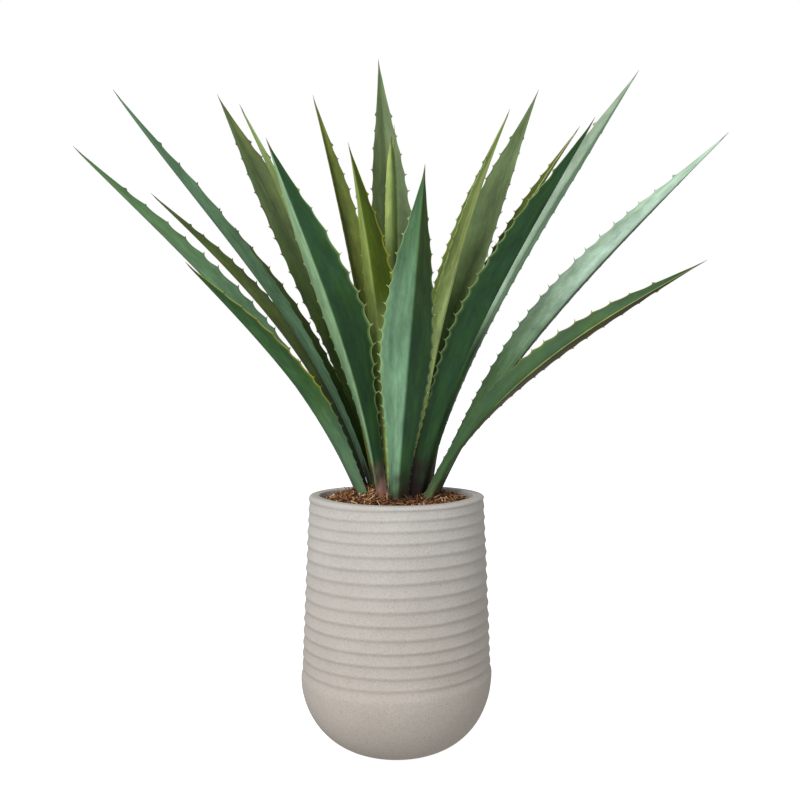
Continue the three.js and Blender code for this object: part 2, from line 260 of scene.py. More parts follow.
def makeSandStone():  # cast stone with a fine sandy grain and dark specks; painted shade makes it darker and browner towards its foot, and painted light makes its inner wall paler
    look = sandLook
    material, tree, skin = newMaterial("sandStone", 0.92, 0.15)
    place = objectPlace(tree)
    cloud = rangeOf(tree, noiseAt(tree, place, look["cloudScale"]), look["cloudFrom"], (0.0, 1.0))
    color = covered(tree, cloud, look["dull"], look["pale"])

    axes = addNode(tree, "ShaderNodeSeparateXYZ")
    tree.links.new(place, axes.inputs["Vector"])
    x, y, z = (axes.outputs[axis] for axis in "XYZ")
    # painted shade: the stone is darker and browner towards its foot
    lowShade = rangeOf(tree, z, (0.0, look["lowShadeBelow"]), (1.0, 0.0))
    color = covered(tree, lowShade, color, tinted(tree, color, look["lowShadeTint"]))

    radiusSquared = joined(tree, "ADD", product(tree, x, x), product(tree, y, y))
    inside = product(tree, rangeOf(tree, radiusSquared, look["innerLightInside"], (1.0, 0.0)),
                     rangeOf(tree, z, look["innerLightAbove"], (0.0, 1.0)))
    color = covered(tree, inside, color, look["innerLightTint"])  # painted light: the inner wall is painted paler

    grain = noiseAt(tree, place, look["grainScale"], 3.0, 0.75)
    color = tinted(tree, color, rangeOf(tree, grain, look["grainFrom"], look["grainTone"]))
    specks = spotsAt(tree, place, look["speckScale"], look["speckSize"])
    sparse = rangeOf(tree, noiseAt(tree, place, look["speckPatch"], 1.0),
                     look["speckFrom"], (0.0, look["speckCover"]))
    color = covered(tree, product(tree, specks, sparse), color, look["speckColor"])
    tree.links.new(color, skin.inputs["Base Color"])
    bumped(tree, skin, grain, look["bump"], look["bumpDepth"] * mm)
    return material


barkLook = {"fibreScale": (90, 900, 900), "fibreFrom": (0.25, 0.75), "fibreTone": (0.6, 1.35)}


def makeBark():  # painted colour for each chip, with fibres and dark hollows
    material, tree, skin = newMaterial("barkChip", 0.85, 0.2)
    tone = ownAttribute(tree, "tone").outputs["Color"]
    fibre = stretchedNoise(tree, ownAttribute(tree, "grain").outputs["Vector"], barkLook["fibreScale"])
    color = tinted(tree, tone, rangeOf(tree, fibre, barkLook["fibreFrom"], barkLook["fibreTone"]))
    tree.links.new(color, skin.inputs["Base Color"])
    bumped(tree, skin, fibre, 0.6, 0.5 * mm)
    return material


compostLook = {
    "crumbScale": 260.0, "crumbFrom": (0.35, 0.7),
    "dark": (0.016, 0.009, 0.006), "pale": (0.12, 0.055, 0.028),
}


def makeCompost():  # loose dark soil
    material, tree, skin = newMaterial("compost", 1.0, 0.1)
    crumbs = noiseAt(tree, objectPlace(tree), compostLook["crumbScale"], 4.0, 0.7)
    share = rangeOf(tree, crumbs, compostLook["crumbFrom"], (0.0, 1.0))
    color = covered(tree, share, compostLook["dark"], compostLook["pale"])
    tree.links.new(color, skin.inputs["Base Color"])
    bumped(tree, skin, crumbs, 1.0, 1.5 * mm)
    return material


stumpLook = {
    "ringScale": (30, 30, 260), "ringFrom": (0.3, 0.7),
    "dark": (0.2, 0.14, 0.08), "pale": (0.42, 0.34, 0.22),
}


def makeStumpSkin():  # rough pale skin of the buried stem
    material, tree, skin = newMaterial("stumpSkin", 0.9, 0.2)
    rings = stretchedNoise(tree, objectPlace(tree), stumpLook["ringScale"], 4.0)
    share = rangeOf(tree, rings, stumpLook["ringFrom"], (0.0, 1.0))
    color = covered(tree, share, stumpLook["dark"], stumpLook["pale"])
    tree.links.new(color, skin.inputs["Base Color"])
    bumped(tree, skin, rings, 0.8, 1.0 * mm)
    return material


leafSkin = makeLeafSkin()
sandStone = makeSandStone()
barkChip = makeBark()
compost = makeCompost()
stumpSkin = makeStumpSkin()
print("materials ready")

# Planter: one ring pulled up and scaled again and again, ribs and rim included, sizes in mm

planter = {
    "height": 395, "footRadius": 50, "sides": 144,
    "bowlRadius": 151, "bowlHeight": 114, "bowlSteps": 20,
    "lowestGroove": 127, "grooveRadius": (148.0, 137.9), "ribs": 14, "ribPitch": 18.5, "ribDrift": 3.6,
    "ribHeight": (1.4, 2.0, 1.5),  # at the lowest rib, from the fourth on, and at the top
    "ribShrinks": (9, 13),  # the ribs between which the height falls to that at the top
    "ribUnder": 0.35, "ribFall": 1.9,  # a rib swells quickly from the groove below and thins slowly upwards
    "rimRadius": 139.4, "rimWall": 17, "rimRound": 5, "floorThickness": 16, "innerSteps": 8,
    "waver": 0.8, "waverScale": (9, 9, 40),  # how far the hand-turned lines stray
    "lean": 2.6, "leanRadius": 140,  # the turned lines stand higher on the right, by this much at the wall
    "strayFrom": (20, 118), "strayTo": (386, 394),  # the foot and the rim's top stay true
    "dip": 3, "dipHeight": (340, 390), "dipFront": (50, 140),  # how much lower the rim lies at the front
    "smoothBelow": 50,
}
shoulderShares = (0.2, 0.38, 0.54, 0.68, 0.8, 0.9)
ribShares = (0, 0.06, 0.12, 0.18, 0.24, 0.3, 0.35, 0.41, 0.48, 0.56, 0.65, 0.75, 0.87)
neckShares = (0, 0.25, 0.5, 0.75)
rimAngles = (0, 20, 40, 58, 75, 90)
innerAngles = (90, 60, 30, 0)


def bowlRings(radius, base, height, steps):
    rings = []
    for step in range(steps + 1):
        angle = step / steps * math.pi / 2
        rings.append((planter["footRadius"] + (radius - planter["footRadius"]) * math.sin(angle),
                      base + height * (1 - math.cos(angle))))
    return rings


def grooveAt(ribs):  # height and radius of the groove below so many ribs
    drift = planter["ribDrift"] * math.sin(2 * math.pi * ribs / planter["ribs"])
    low, high = planter["grooveRadius"]
    height = planter["lowestGroove"] + ribs * planter["ribPitch"] - drift
    return height, low + (high - low) * ribs / planter["ribs"]


def ribRings(rib):
    first, middle, last = planter["ribHeight"]
    ribHeight = first + (middle - first) * min(1, rib / 3)
    ribHeight -= (middle - last) * ramp(*planter["ribShrinks"], rib)
    under = planter["ribUnder"]
    rings = []
    for share in ribShares:
        height, radius = grooveAt(rib + share)
        swell = ramp(0, under, share) if share < under else ((1 - share) / (1 - under)) ** planter["ribFall"]
        rings.append((radius + ribHeight * swell, height))
    return rings


def potRings():  # radius and height of each ring, up the outside and down the inside
    height, rim, bowlHeight = planter["height"], planter["rimRound"], planter["bowlHeight"]
    rings = bowlRings(planter["bowlRadius"], 0, bowlHeight, planter["bowlSteps"])
    lowest, lowestRadius = grooveAt(0)
    drop = planter["bowlRadius"] - lowestRadius
    for share in shoulderShares:
        radius = planter["bowlRadius"] - drop * ramp(0, 1, share)
        rings.append((radius, bowlHeight + (lowest - bowlHeight) * share))
    for rib in range(planter["ribs"]):
        rings += ribRings(rib)
    top, topRadius = grooveAt(planter["ribs"])
    for share in neckShares:
        radius = topRadius + (planter["rimRadius"] - topRadius) * ramp(0, 1, share)
        rings.append((radius, top + (height - rim - top) * share))
    for angle in rimAngles:
        turn = math.radians(angle)
        rings.append((planter["rimRadius"] - rim + rim * math.cos(turn), height - rim + rim * math.sin(turn)))
    inner = planter["rimRadius"] - planter["rimWall"]
    for angle in innerAngles:
        turn = math.radians(angle)
        radius = inner + rim / 2 - rim / 2 * math.cos(turn)
        rings.append((radius, height - rim / 2 + rim / 2 * math.sin(turn)))
    base = planter["floorThickness"]
    rings += reversed(bowlRings(inner, base, bowlHeight - base, planter["innerSteps"]))
    return rings


def turnByHand(vertex):  # the turned lines waver and lean a little, and the rim dips at the front
    place = vertex.co
    stray = ramp(*planter["strayFrom"], place.z / mm) * (1 - ramp(*planter["strayTo"], place.z / mm))
    scales = planter["waverScale"]
    spot = Vector((place.x * scales[0], place.y * scales[1], place.z * scales[2]))
    lean = planter["lean"] * place.x / (planter["leanRadius"] * mm)
    place.z += stray * mm * (planter["waver"] * noise.noise(spot) + lean)
    dip = ramp(*planter["dipHeight"], place.z / mm) * ramp(*planter["dipFront"], -place.y / mm)
    place.z -= planter["dip"] * mm * dip
    out = Vector((place.x, place.y, 0)).normalized()
    place += out * (planter["waver"] * 0.5 * mm * stray * noise.noise(spot + Vector((7, 3, 1))))


def makePlanter():
    rings = potRings()
    radius, height = rings[0]
    bpy.ops.object.select_all(action="DESELECT")
    bpy.ops.mesh.primitive_circle_add(vertices=planter["sides"], radius=radius * mm, fill_type="NGON")
    pot = bpy.context.object
    pot.name = "planter"
    bpy.ops.object.mode_set(mode="EDIT")
    bpy.ops.mesh.select_mode(type="EDGE")
    bpy.ops.mesh.select_all(action="SELECT")
    bpy.ops.mesh.region_to_loop()
    for nextRadius, nextHeight in rings[1:]:
        bpy.ops.mesh.extrude_edges_move(TRANSFORM_OT_translate={"value": (0, 0, (nextHeight - height) * mm)})
        scale = nextRadius / radius
        bpy.ops.transform.resize(value=(scale, scale, 1), center_override=(0, 0, 0))
        radius, height = nextRadius, nextHeight
    bpy.ops.mesh.edge_face_add()
    bpy.ops.object.mode_set(mode="OBJECT")
    faceOutwards()
    for vertex in pot.data.vertices:
        turnByHand(vertex)
    bpy.ops.object.shade_smooth_by_angle(angle=math.radians(planter["smoothBelow"]))
    pot.data.materials.append(sandStone)
    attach(pot, "root")
    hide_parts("pot")


makePlanter()
print("planter ready")

# Leaves: sizes in mm, places as in the rosette's own frame

# the leaf colours: many hold painted light and shade as well as a leaf's own green, paler where a half faces
# the key light and darker where it is turned away or lies deep among the leaves
greens = {
    "reed": fromScreen(60, 82, 34), "bark": fromScreen(36, 27, 22), "umber": fromScreen(72, 72, 38),
    "night": fromScreen(38, 58, 22), "apple": fromScreen(112, 143, 66), "ink": fromScreen(36, 40, 30),
    "pine": fromScreen(30, 62, 31), "haze": fromScreen(146, 168, 142), "forest": fromScreen(45, 80, 49),
    "fir": fromScreen(54, 89, 49), "leaf": fromScreen(68, 104, 68), "fern": fromScreen(84, 112, 60),
    "sea": fromScreen(92, 126, 94), "thyme": fromScreen(92, 128, 82), "jade": fromScreen(111, 150, 117),
    "sage": fromScreen(134, 176, 136), "mint": fromScreen(153, 191, 145), "frost": fromScreen(184, 214, 186),
    "moss": fromScreen(64, 82, 14), "olive": fromScreen(76, 92, 46), "slate": fromScreen(98, 118, 76),
    "ash": fromScreen(108, 126, 86), "khaki": fromScreen(99, 113, 47), "pear": fromScreen(128, 148, 86),
    "leek": fromScreen(152, 172, 92), "lime": fromScreen(188, 214, 126),
}
# crease is the colour of painted shade at the bottom of a channel; base is the feet's own pinkish brown, and
# plum is partly their own purple brown and partly painted shade between them
accents = {
    "green": fromScreen(150, 180, 112), "gold": fromScreen(186, 178, 54), "pale": fromScreen(196, 206, 130),
    "dark": fromScreen(84, 66, 44), "spine": fromScreen(104, 84, 76), "spineEnd": fromScreen(168, 150, 140),
    "base": fromScreen(140, 106, 98), "plum": fromScreen(50, 42, 41), "crease": fromScreen(40, 56, 28),
}
leafForm = {
    "footHeight": 360, "widestAt": 0.5, "neckWidth": 0.2, "keelPoints": 300, "thinnest": 0.15, "end": 0.9995,
    "footThickness": 10, "tipThickness": 2.4, "marginThickness": 0.9, "smoothBelow": 60,
    "teethFrom": 0.07, "teethTo": 0.86, "toothSizes": (0.7, 1.15), "toothStray": 0.2,
    "toothSpread": (0.58, 0.42),  # shares of the even spacing and of the one that is closer near the foot
    "teethGrown": 0.45, "teethShrink": 0.62,  # where along the leaf the teeth are the largest
    "footRows": 6, "tipRows": 18, "spine": 15,
}
leafPaint = {  # places are shares of a leaf's length, or of a half's width beside the keel
    "channelWidth": 0.3, "marginShadeOver": (0.2, 0.95),
    "footOver": (0.06, 0.18), "plumOver": (0.05, 0.12), "plum": 0.8,
    "patchScale": (2.2, 26), "patchReach": 0.05,  # the foot's colour ends in patches
    "keelFrom": (0.3, 0.5), "keel": 0.8, "line": 0.9, "besideLine": 0.3,
    "toothFrom": (0.1, 0.35), "spine": 0.8,
    "warmth": (0.05, 0.6), "warmGreen": (0.08, 0.22),  # the darker a green, the warmer its clouds
    "highlightAcross": (0.05, 0.2, 0.25, 0.6), "highlightAlong": (0.2, 0.4, 0.85, 0.95),  # starts, whole, thins, ends
}
columns = (-1, -0.965, -0.88, -0.7, -0.45, -0.16, -0.03, 0, 0.03, 0.16, 0.45, 0.7, 0.88, 0.965, 1)
toothRows = (0, 0.04, 0.1, 0.2, 0.35, 0.5, 0.65, 0.8, 0.9, 0.96)

# what a leaf has where its own row below says nothing
usualLeaf = {
    "twist": 0, "base": 0.4, "taper": 1.6, "pinch": 0.4, "round": 0.05, "tuck": 0,
    "turn": (0.12, 0.7), "blend": 0.025, "crease": 0.35, "fade": 0.1, "gleam": 0,
    "footColor": "base", "footTintAndShade": 0.85, "slant": 0, "lineFrom": (0.15, 0.42),
    "spacing": 22, "scallop": 2.6, "hook": 4.4,
}

# the shape: the keel is a curve from foot to tip, and bow says how far its two handles stand above the straight
# line between them; half is the width of one half, and base is the least share of it at the foot; fold, roll
# and twist are angles; taper and pinch shape the way to the tip, round softens the keel, and tuck narrows the
# left half near the foot; spacing, scallop and hook are sizes of the teeth

# the paint: outer and inner name the colours of a face near the foot and near the tip, first on the half at
# the leaf's right, as one looks along it from the stem, and then on the half at its left; these colours also
# hold painted light and shade, paler on a half that faces the key light and darker on one turned from it or
# lying deep among the leaves; turn says where along the leaf the first gives way to the second, and blend how
# softly the halves meet; line, tooth and keel colour the margin, its teeth and the keel; footColor names the
# foot's colour, partly its own pinkish brown and partly painted shade where the feet crowd together, and the
# foot's strength says how much of it shows; a slant above 0 lets it reach higher on the right half; crease is
# painted shade in the channel, fade is painted shade towards the margins, and gleam is a pale streak painted
# as a highlight
leaves = [
    {"foot": (-46, -2), "tip": (-485, -80, 926), "bow": (78, 28), "half": 42, "fold": 40, "roll": 0,
     "outer": ("leaf", "thyme", "sea", "thyme"), "inner": ("slate",) * 4,
     "turn": (0.4, 0.85), "spacing": 27, "scallop": 4.4, "tooth": "dark", "footTintAndShade": 0.3, "gleam": 0.35},
    {"foot": (-28, 0), "tip": (-425, -80, 1011), "bow": (86, 16), "half": 38, "fold": 38, "roll": -14,
     "twist": 36,
     "outer": ("leaf", "sea", "jade", "sea"), "inner": ("night", "olive", "night", "olive"),
     "turn": (0.2, 0.6), "spacing": 30, "scallop": 3.4, "tooth": "dark", "footColor": "bark"},
    {"foot": (-44, 25), "tip": (-411, 60, 891), "bow": (90, 45), "half": 32, "fold": 40, "roll": 12,
     "outer": ("night", "olive", "night", "olive"), "inner": ("olive",) * 4,
     "turn": (0.2, 0.6), "scallop": 3.4, "tooth": "dark", "footColor": "bark"},
    {"foot": (-43, -29), "tip": (-293, -170, 737), "bow": (52, 25), "half": 33, "fold": 40, "roll": 0,
     "outer": ("pine", "fir", "sea", "fir"), "inner": ("pine", "leaf", "pine", "leaf"),
     "turn": (0.15, 0.5), "line": "gold", "lineFrom": (0.3, 0.55), "tooth": "dark", "footTintAndShade": 0.15,
     "gleam": 0.3},
    {"foot": (-17, 22), "tip": (-316, 130, 1083), "bow": (64, 15), "half": 46, "fold": 30, "roll": -40,
     "outer": ("olive", "olive", "olive", "slate"), "inner": ("olive", "olive", "reed", "slate"),
     "turn": (0.25, 0.8), "spacing": 25, "scallop": 3.2, "tooth": "dark", "footColor": "bark"},
    {"foot": (-27, -23), "tip": (-251, 0, 1018), "bow": (50, 25), "half": 34, "fold": 40, "roll": 0,
     "outer": ("khaki", "pear", "khaki", "pear"), "inner": ("khaki", "leek", "khaki", "leek"),
     "line": "green", "tooth": "dark", "footColor": "bark"},
    {"foot": (-22, -46), "tip": (-181, -170, 910), "bow": (48, 18), "half": 50, "fold": 38, "roll": 22,
     "twist": 20, "tuck": 0.34,
     "outer": ("mint", "mint", "pine", "forest"), "inner": ("pine", "forest", "pine", "forest"),
     "turn": (0.35, 0.75), "spacing": 25, "scallop": 3.8, "line": "green", "tooth": "pale", "footTintAndShade": 1.0,
     "slant": -0.02},
    {"foot": (-12, 52), "tip": (-153, 180, 1100), "bow": (30, 20), "half": 37, "fold": 40, "roll": 0,
     "outer": ("khaki",) * 4, "inner": ("khaki",) * 4,
     "tooth": "dark", "footColor": "bark"},
    # painted light: its low part, shaded by the leaves beside it, is painted pale lime as though lit
    {"foot": (-10, -40), "tip": (-72, -85, 930), "bow": (20, 30), "half": 38, "fold": 38, "roll": 32,
     "twist": -16, "base": 0.7,
     "outer": ("lime", "leek", "lime", "moss"), "inner": ("moss",) * 4,
     "turn": (0.4, 0.62), "scallop": 3.6, "line": "gold", "lineFrom": (0, 0.05), "tooth": "gold",
     "footTintAndShade": 0.15},
    {"foot": (10, 34), "tip": (-32, 110, 1137), "bow": (10, 8), "half": 46, "fold": 28, "roll": -10,
     "outer": ("ash", "slate", "olive", "ash"), "inner": ("ash", "slate", "olive", "ash"),
     "turn": (0.4, 0.95), "spacing": 25, "tooth": "dark"},
    # painted light and shade: the rolled leaf's left half is paler and its right half darker, blended across
    # its round
    {"foot": (-6, 6), "tip": (-9, 16, 976), "bow": (3, 3), "half": 13, "fold": -38, "roll": 0, "taper": 6,
     "pinch": 0.1, "round": 0.6,
     "outer": ("olive",) * 4, "inner": ("olive", "fern", "pear", "leek"),
     "turn": (0.5, 0.95), "blend": 0.7, "scallop": 0.3, "hook": 1.2, "tooth": "pale", "crease": 0},
    {"foot": (1, -56), "tip": (38, -250, 850), "bow": (26, 0), "half": 50, "fold": 38, "roll": -4,
     "twist": 22,
     "outer": ("jade", "leaf", "forest", "reed"), "inner": ("pine",) * 4,
     "turn": (0.45, 1.0), "spacing": 18, "scallop": 3.6, "line": "green", "tooth": "pale",
     "footColor": "plum", "footTintAndShade": 0.9, "slant": -0.015, "fade": 0.05},
    {"foot": (21, 2), "tip": (184, 20, 1017), "bow": (31, 33), "half": 42, "fold": 40, "roll": 0,
     "outer": ("lime", "leek", "lime", "leek"), "inner": ("khaki",) * 4,
     "turn": (0.45, 0.65), "spacing": 18, "scallop": 3.6, "line": "green", "tooth": "dark", "keel": "pale",
     "footColor": "bark", "gleam": 1.0},
    {"foot": (27, 38), "tip": (253, 150, 1099), "bow": (54, 24), "half": 43, "fold": 32, "roll": 33,
     "outer": ("pear", "ash", "fern", "slate"), "inner": ("pear", "ash", "fern", "slate"),
     "tooth": "dark", "footColor": "bark"},
    {"foot": (50, 36), "tip": (342, 220, 1057), "bow": (92, 56), "half": 26, "fold": 44, "roll": 0,
     "outer": ("pear", "khaki", "pear", "khaki"), "inner": ("pear", "khaki", "pear", "khaki"),
     "scallop": 3.2, "line": "pale", "tooth": "pale", "footColor": "bark", "footTintAndShade": 1.0},
    {"foot": (27, -33), "tip": (278, -165, 940), "bow": (58, 24), "half": 46, "fold": 40, "roll": 0,
     "base": 0.55,
     "outer": ("forest",) * 4, "inner": ("forest",) * 4,
     "spacing": 19, "scallop": 4.2, "line": "green", "tooth": "pale", "footColor": "plum", "footTintAndShade": 1.0,
     "slant": 0.04},
    {"foot": (36, 2), "tip": (386, -5, 1070), "bow": (72, 31), "half": 27, "fold": 40, "roll": -60,
     "taper": 2.6,
     "outer": ("fir", "haze", "fir", "sage"), "inner": ("fern", "mint", "fern", "mint"),
     "turn": (0.33, 0.48), "line": "pale", "tooth": "dark", "footColor": "bark", "footTintAndShade": 1.0,
     "gleam": 0.15},
    # painted shade: its far half, on its left, is painted dark ink low down where it lies in shade
    {"foot": (51, 11), "tip": (515, -40, 960), "bow": (74, 30), "half": 36, "fold": 40, "roll": -46,
     "outer": ("thyme", "frost", "ink", "fir"), "inner": ("fern", "mint", "fern", "mint"),
     "turn": (0.3, 0.7), "tooth": "dark", "footColor": "plum", "gleam": 0.3},
    # painted shade: its left half, turned under and away, is painted umber
    {"foot": (37, -40), "tip": (451, -120, 748), "bow": (91, 48), "half": 26, "fold": 40, "roll": -58,
     "twist": -24,
     "outer": ("fir", "fir", "umber", "umber"), "inner": ("leaf", "olive", "leaf", "olive"),
     "line": "gold", "lineFrom": (0.4, 0.6), "tooth": "dark", "keel": "pale", "footTintAndShade": 0.15},
    {"foot": (-34, 56), "tip": (-188, 280, 813), "bow": (40, 25), "half": 40, "fold": 38, "roll": 0,
     "outer": ("leaf", "sea", "sea", "jade"), "inner": ("fern", "ash", "fern", "ash"),
     "line": "green", "tooth": "dark"},
    {"foot": (6, 64), "tip": (15, 360, 760), "bow": (40, 30), "half": 42, "fold": 38, "roll": 0,
     "outer": ("leaf", "fir", "jade", "sage"), "inner": ("pine", "fir", "pine", "fir"),
     "line": "green", "tooth": "pale"},
    {"foot": (40, 60), "tip": (209, 280, 813), "bow": (40, 25), "half": 40, "fold": 38, "roll": 0,
     "outer": ("leaf", "sea", "leaf", "sage"), "inner": ("slate",) * 4,
     "line": "green", "tooth": "dark"},
]
spear = {  # the unopened leaf
    "foot": (-5, 14), "tip": (-3.5, 24, 993), "bow": (2, 2), "half": 8, "fold": -34, "roll": 0, "taper": 4,
    "outer": ("pear",) * 4, "inner": ("apple", "pear", "fern", "leek"),
    "scallop": 0, "hook": 0, "tooth": "green",
}


class Keel:  # the line that a blade follows, measured along its length
    def __init__(self, leaf):
        foot = Vector((*leaf["foot"], leafForm["footHeight"]))
        tip = Vector(leaf["tip"])
        chord = tip - foot
        along = chord.normalized()
        up = (Vector((0, 0, 1)) - along * along.z).normalized()
        lower = foot + chord / 3 + up * leaf["bow"][0]
        upper = foot + chord * 2 / 3 + up * leaf["bow"][1]
        self.points = interpolate_bezier(foot, lower, upper, tip, leafForm["keelPoints"])
        self.reached = [0.0]
        for one, other in zip(self.points, self.points[1:]):
            self.reached.append(self.reached[-1] + (other - one).length)
        self.length = self.reached[-1]
        self.spineShare = leafForm["spine"] / self.length
        azimuth = math.atan2(chord.y, chord.x)
        self.level = Vector((-math.sin(azimuth), math.cos(azimuth), 0))
        self.roll = math.radians(leaf["roll"])
        self.twist = math.radians(leaf["twist"])

    def at(self, share):  # place, way across and way into the channel
        want = share * self.length
        index = min(max(bisect.bisect(self.reached, want), 1), len(self.points) - 1)
        before, after = self.points[index - 1], self.points[index]
        step = (want - self.reached[index - 1]) / (self.reached[index] - self.reached[index - 1])
        along = (after - before).normalized()
        level = (self.level - along * self.level.dot(along)).normalized()
        inward = along.cross(level)
        roll = self.roll + self.twist * (share - 0.5)
        across = level * math.cos(roll) + inward * math.sin(roll)
        return before.lerp(after, step), across, along.cross(across)


def widthShare(leaf, share):  # 1 at the widest place
    widest, neck = leafForm["widestAt"], leafForm["neckWidth"]
    if share < widest:
        width = neck + (1 - neck) * ramp(0, widest, share)
        return (width ** 4 + leaf["base"] ** 4 * (1 - share / widest)) ** 0.25
    fall = (share - widest) / (1 - widest)
    return (1 - fall ** leaf["taper"]) * (1 - leaf["pinch"] * ramp(0.5, 1, fall))


def toothPlaces(count, draw):  # closer together near the foot, and never quite even
    start, reach = leafForm["teethFrom"], leafForm["teethTo"] - leafForm["teethFrom"]
    stray = leafForm["toothStray"]
    even, crowded = leafForm["toothSpread"]
    places = []
    for tooth in range(count + 1):
        part = tooth / count
        if tooth not in (0, count):
            part += draw.uniform(-stray, stray) / count
        places.append(start + reach * (even * part + crowded * part * part))
    return places


def leafRows(leaf, keel, draw):
    # a row is (place at the keel, at the left margin and at the right margin, tooth part, tooth size)
    count = round(keel.length * (leafForm["teethTo"] - leafForm["teethFrom"]) / leaf["spacing"])
    left, right = toothPlaces(count, draw), toothPlaces(count, draw)
    sizes = [draw.uniform(*leafForm["toothSizes"]) for _ in range(count + 1)]
    rows = []
    for step in range(leafForm["footRows"]):
        place = left[0] * step / leafForm["footRows"]
        rows.append((place, place, place, None, 0))
    for tooth in range(count):
        for part in toothRows:
            leftPlace = left[tooth] + (left[tooth + 1] - left[tooth]) * part
            rightPlace = right[tooth] + (right[tooth + 1] - right[tooth]) * part
            size = sizes[tooth] if part < 0.5 else sizes[tooth + 1]
            rows.append(((leftPlace + rightPlace) / 2, leftPlace, rightPlace, part, size))
    start = left[-1]
    for step in range(leafForm["tipRows"] + 1):
        place = start + (leafForm["end"] - start) * (1 - (1 - step / leafForm["tipRows"]) ** 1.25)
        part, size = (0, 1) if step == 0 else (None, 0)
        rows.append((place, place, place, part, size))
    return rows


def marginReach(leaf, place, part, size, bladeLength):  # how far the margin stands off its line, and along it
    if part is None:
        return 0, 0
    fade = 0.2 + 0.8 * ramp(leafForm["teethFrom"], leafForm["teethGrown"], place)
    fade *= 1 - 0.5 * ramp(leafForm["teethShrink"], leafForm["teethTo"], place)
    if part == 0:
        hook = leaf["hook"] * size
        return hook * (0.15 + 0.85 * fade), hook * 0.5 * fade / bladeLength
    dip = math.sin(math.pi * part ** 1.5) ** 0.75
    return -leaf["scallop"] * dip * fade, 0


def sectionPoint(leaf, keel, place, side, reach):
    centre, across, inward = keel.at(place)
    fold = math.radians(leaf["fold"])
    half = leaf["half"] * widthShare(leaf, place)
    if side > 0:  # the left half may be narrower near the foot
        half *= 1 - leaf["tuck"] * (1 - ramp(0.3, 0.55, place))
    slender = 1 - 0.35 * ramp(1 - 2.6 * keel.spineShare, 1 - 0.55 * keel.spineShare, place)
    half = max(half * slender, leafForm["thinnest"])
    soft = leaf["round"] * half
    out = abs(side) * half
    if reach < 0:  # a hollow draws the face beside it in as well
        out += reach * ramp(0.6, 1, abs(side))
    elif abs(side) == 1:
        out += reach
    rise = math.sqrt(out * out + soft * soft) - soft
    return centre + across * math.copysign(out * math.cos(fold), side) + inward * rise * math.sin(fold)


def thicknessAt(place, side):
    foot, tip = leafForm["footThickness"], leafForm["tipThickness"]
    atKeel = foot + (tip - foot) * place ** 0.6
    atKeel *= 1 - 0.75 * ramp(0.975, 1, place)  # the spine runs to a point
    edge = min(leafForm["marginThickness"], atKeel)
    return atKeel + (edge - atKeel) * abs(side) ** 0.9


def leafColor(leaf, place, side, channel, part, spineShare):
    out = abs(side)
    rightLow, rightHigh, leftLow, leftHigh = (greens[name] for name in leaf["inner" if channel else "outer"])
    height = ramp(*leaf["turn"], place)
    right, left = mixed(rightLow, rightHigh, height), mixed(leftLow, leftHigh, height)
    color = mixed(right, left, ramp(-leaf["blend"], leaf["blend"], side))
    if channel:
        # painted shade: the channel darkens towards the keel, deep in the fold
        deep = 1 - ramp(0, leafPaint["channelWidth"], out)
        color = mixed(color, accents["crease"], leaf["crease"] * deep)
    else:
        # painted shade: the outer face darkens towards the margins, which curl away
        color = mixed(color, (0, 0, 0), leaf["fade"] * ramp(*leafPaint["marginShadeOver"], out))

    sideScale, placeScale = leafPaint["patchScale"]
    patchy = noise.noise(Vector((side * sideScale, place * placeScale, leaf["half"])))
    reached = place - leafPaint["patchReach"] * patchy + leaf["slant"] * side
    # the foot's colour is partly its own pinkish brown and partly painted shade, dark where the feet crowd
    # together
    foot = {**greens, **accents}[leaf["footColor"]]
    foot = mixed(foot, accents["plum"], leafPaint["plum"] * ramp(*leafPaint["plumOver"], reached))
    color = mixed(color, foot, leaf["footTintAndShade"] * (1 - ramp(*leafPaint["footOver"], reached)))

    if side == 0 and "keel" in leaf:
        color = mixed(color, accents[leaf["keel"]], leafPaint["keel"] * ramp(*leafPaint["keelFrom"], place))
    if out > 0.96 and "line" in leaf:
        shown = leafPaint["line"] * ramp(*leaf["lineFrom"], place)
        color = mixed(color, accents[leaf["line"]], shown if out == 1 else leafPaint["besideLine"] * shown)
    if out == 1 and part == 0:
        color = mixed(color, accents[leaf["tooth"]], 0.4 + 0.6 * ramp(*leafPaint["toothFrom"], place))
    spine = ramp(1 - 1.5 * spineShare, 1 - 0.85 * spineShare, place)
    color = mixed(color, accents["spine"], leafPaint["spine"] * spine)
    return mixed(color, accents["spineEnd"], leafPaint["spine"] * ramp(1 - 0.45 * spineShare, 1, place))


def highlightAt(leaf, place, side):  # pale streak beside the keel, painted as a highlight
    def shown(limits, value):
        starts, whole, thins, ends = limits
        return ramp(starts, whole, value) * (1 - ramp(thins, ends, value))
    return leaf["gleam"] * shown(leafPaint["highlightAcross"], abs(side)) * shown(leafPaint["highlightAlong"], place)


def warmthAt(color):
    least, more = leafPaint["warmth"]
    return least + more * (1 - ramp(*leafPaint["warmGreen"], color[1]))


def paintLeaf(mesh, leaf, keel, marks, number):
    kinds = {"coat": "FLOAT_COLOR", "grain": "FLOAT_VECTOR", "paintedHighlight": "FLOAT", "warm": "FLOAT"}
    for name, kind in kinds.items():
        mesh.attributes.new(name, kind, "POINT")
    coat, grain, paintedHighlight, warm = (mesh.attributes[name].data for name in kinds)
    for vertex in mesh.vertices:
        place, side, part, reach = marks[vertex.index % len(marks)]  # the second skin repeats the first
        inward = keel.at(place)[2]
        middle = sectionPoint(leaf, keel, place, side, reach) * mm
        channel = (vertex.co - middle).dot(inward) > 0
        color = leafColor(leaf, place, side, channel, part, keel.spineShare)
        coat[vertex.index].color = (*color, 1)
        warm[vertex.index].value = warmthAt(color)
        grain[vertex.index].vector = (side * leaf["half"] * mm, place * keel.length * mm, number * 3.7)
        paintedHighlight[vertex.index].value = highlightAt(leaf, place, side)


